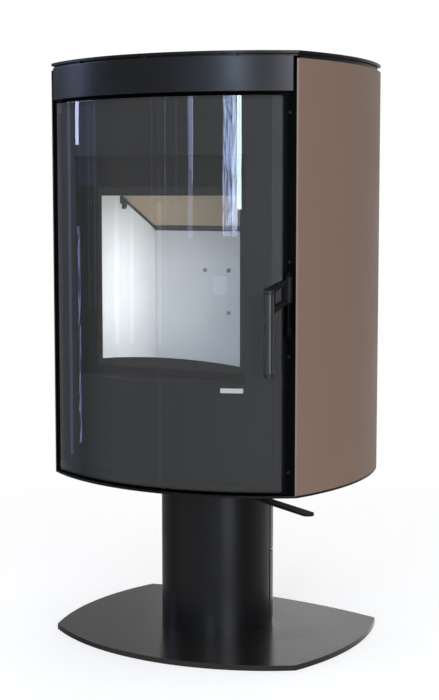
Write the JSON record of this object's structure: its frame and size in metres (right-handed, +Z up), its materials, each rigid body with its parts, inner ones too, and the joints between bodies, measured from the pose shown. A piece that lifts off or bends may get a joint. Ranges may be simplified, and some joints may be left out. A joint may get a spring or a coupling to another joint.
{
  "type": "wood burning stove",
  "caption": "Free-standing wood burning stove with a curved glass door, bowed side panels and a round pedestal on a bowed base plate.",
  "frame": {"origin": "on the floor, on the axis of the pedestal column", "axes": "+Z up, -Y towards the room and the glass door, +X to the stove's right as seen from the front"},
  "size_m": [0.6222, 0.4783, 1.104],
  "materials": {
    "black_steel": "fine satin black stove paint",
    "base_steel": "satin black paint on thick plate",
    "inner_steel": "matte black heat-proof paint on sheet steel",
    "brown_panel": "matte brown powder coat with a very fine grain",
    "front_glass": "dark curved glass with a black printed edge",
    "clear_glass": "clear flat heat-proof glass",
    "lining": "pale pressed fire board",
    "baffle_board": "tan pressed vermiculite board",
    "cast_iron": "rough cast iron",
    "zinc_steel": "plain zinc plated steel",
    "rope_seal": "braided glass fibre rope",
    "black_rubber": "matte black high temperature silicone",
    "plate_aluminium": "blank brushed plate",
    "handle_steel": "semi-gloss black lacquered tube",
    "cap_black": "matte black end cap"
  },
  "bodies": {
    "stove_body": {"base_plate": "base_steel", "pedestal_column": "black_steel", "column_bolts": "zinc_steel", "column_cover": "black_steel", "column_cover_screws": "zinc_steel", "air_inlet_collar": "zinc_steel", "air_duct": "zinc_steel", "bottom_plate": "black_steel", "air_box": "inner_steel", "firebox_supports": "inner_steel", "ash_housing": "inner_steel", "ash_pan": "zinc_steel", "firebox_body": "inner_steel", "firebox_front": "inner_steel", "lining_left": "lining", "lining_right": "lining", "lining_back": "lining", "fire_floor": "lining", "grate": "cast_iron", "log_guard": "cast_iron", "baffle": "baffle_board", "baffle_rail": "inner_steel", "baffle_brackets": "inner_steel", "smoke_plate": "inner_steel", "air_wash_duct": "inner_steel", "flue_collar": "inner_steel", "heat_shields": "zinc_steel", "front_post_left": "black_steel", "front_post_right": "black_steel", "post_screws": "zinc_steel", "side_panel_left": "brown_panel", "side_panel_right": "brown_panel", "back_panel": "black_steel", "back_panel_screws": "zinc_steel", "rear_flue_cover": "black_steel", "fascia": "black_steel", "top_deck": "black_steel", "top_spacers": "zinc_steel", "top_plate": "black_steel", "hinge_brackets": "black_steel", "hinge_pins": "zinc_steel", "latch_keeper": "inner_steel"},
    "door": {"door_frame": "black_steel", "door_back_plate": "black_steel", "door_hinge_blocks": "black_steel", "door_glass": "front_glass", "glass_seal": "black_rubber", "inner_glass": "clear_glass", "inner_glass_clips": "inner_steel", "clip_screws": "inner_steel", "door_gasket": "rope_seal", "name_plate": "plate_aluminium", "handle_lugs": "black_steel"},
    "handle": {"handle_bracket": "black_steel", "handle_bar": "handle_steel", "handle_caps": "cap_black", "latch_shaft": "inner_steel"},
    "air_control": {"air_lever": "black_steel", "lever_pivot": "zinc_steel", "air_register": "zinc_steel"}
  },
  "joints": [
    {"name": "door_swing", "type": "hinge", "parent": "stove_body", "child": "door", "pos_m": [-0.235, -0.184, 0.676], "axis": [0, 0, -1], "range_deg": [0, 105]},
    {"name": "handle_turn", "type": "hinge", "parent": "door", "child": "handle", "pos_m": [0.25, -0.184, 0.68], "axis": [0, 0, 1], "range_deg": [0, 30]},
    {"name": "air_lever_swing", "type": "hinge", "parent": "stove_body", "child": "air_control", "pos_m": [0.13, -0.13, 0.305], "axis": [0, 0, 1], "range_deg": [-15, 15]}
  ]
}
